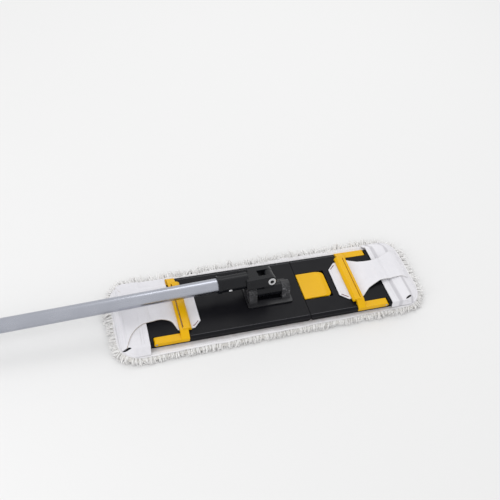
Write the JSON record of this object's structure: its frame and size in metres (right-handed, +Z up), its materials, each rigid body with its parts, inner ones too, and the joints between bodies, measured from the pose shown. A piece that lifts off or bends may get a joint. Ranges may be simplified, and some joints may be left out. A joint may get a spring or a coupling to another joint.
{
  "type": "flat mop",
  "caption": "Flat mop with a folding black holder, yellow clamps and foot pedal, a white fringed pocket mop and a jointed aluminium handle.",
  "frame": {"origin": "on the floor, at the underside of the mop, in the middle of the 500 mm holder", "axes": "+X along the holder to the end with the foot pedal, +Y to the back, away from the reader's side, +Z up"},
  "size_m": [1.7753, 0.18, 0.0803],
  "materials": {
    "deck_plastic": "fine-grained satin black moulding",
    "joint_plastic": "black moulding with rough grey-worn ears",
    "yellow_plastic": "golden yellow, semi-gloss",
    "aluminium_tube": "satin drawn tube",
    "bright_steel": "bright",
    "steel": "plain, half-bright",
    "grip_rubber": "soft black sleeve",
    "white_cloth": "close white weave with stitched hems",
    "mop_yarn": "off-white tufted and fringed yarn"
  },
  "bodies": {
    "holder": {"deck_left": "deck_plastic", "joint_bracket": "joint_plastic", "bracket_screw_1": "steel", "bracket_screw_2": "steel", "bracket_screw_3": "steel", "bracket_screw_4": "steel", "lower_axle": "steel", "fold_pin_front": "steel", "fold_pin_back": "steel", "clamp_pin_1": "steel", "clamp_pin_2": "steel", "mop_pile_left": "mop_yarn", "mop_backing_left": "white_cloth", "mop_fold_strip": "mop_yarn", "pocket_left": "white_cloth", "tab_left": "white_cloth"},
    "folding_wing": {"deck_right": "deck_plastic", "clamp_pin_3": "steel", "clamp_pin_4": "steel", "pedal_pin": "steel", "pedal_spring": "steel", "mop_pile_right": "mop_yarn", "mop_backing_right": "white_cloth", "pocket_right": "white_cloth", "tab_right": "white_cloth"},
    "clamp_left": {"clamp_left": "yellow_plastic"},
    "clamp_right": {"clamp_right": "yellow_plastic"},
    "pedal": {"release_pedal": "yellow_plastic"},
    "tilting_knuckle": {"knuckle": "joint_plastic"},
    "handle": {"socket_fork": "joint_plastic", "pivot_rivet": "bright_steel", "pole_tube": "aluminium_tube", "snap_spring": "steel", "grip": "grip_rubber", "grip_cap": "yellow_plastic"},
    "button": {"snap_button": "bright_steel"}
  },
  "joints": [
    {"name": "frame_fold", "type": "hinge", "parent": "holder", "child": "folding_wing", "pos_m": [0.0615, 0, 0.0201], "axis": [0, 1, 0], "range_deg": [0, 80], "deforming": ["mop_fold_strip"]},
    {"name": "handle_tilt", "type": "hinge", "parent": "holder", "child": "tilting_knuckle", "pos_m": [0, -0.001, 0.0401], "axis": [1, 0, 0], "range_deg": [-44, 76]},
    {"name": "handle_swing", "type": "hinge", "parent": "tilting_knuckle", "child": "handle", "pos_m": [0, 0.00672, 0.06702], "axis": [0, 0.9613, -0.2756], "range_deg": [-2, 186]},
    {"name": "clamp_left_open", "type": "hinge", "parent": "holder", "child": "clamp_left", "pos_m": [-0.203, 0, 0.0223], "axis": [0, -1, 0], "range_deg": [0, 14]},
    {"name": "clamp_right_open", "type": "hinge", "parent": "folding_wing", "child": "clamp_right", "pos_m": [0.203, 0, 0.0223], "axis": [0, 1, 0], "range_deg": [0, 95]},
    {"name": "pedal_press", "type": "hinge", "parent": "folding_wing", "child": "pedal", "pos_m": [0.1081, 0, 0.0218], "axis": [0, -1, 0], "range_deg": [0, 4], "stiffness_Nm_per_rad": 1, "springref_deg": -2.86, "deforming": ["pedal_spring"]},
    {"name": "button_press", "type": "slide", "parent": "handle", "child": "button", "axis": [-0.0194, 0.9612, 0.2753], "range_m": [0, 0.0052], "stiffness_N_per_m": 800, "springref_m": -0.002, "deforming": ["snap_spring"]}
  ]
}
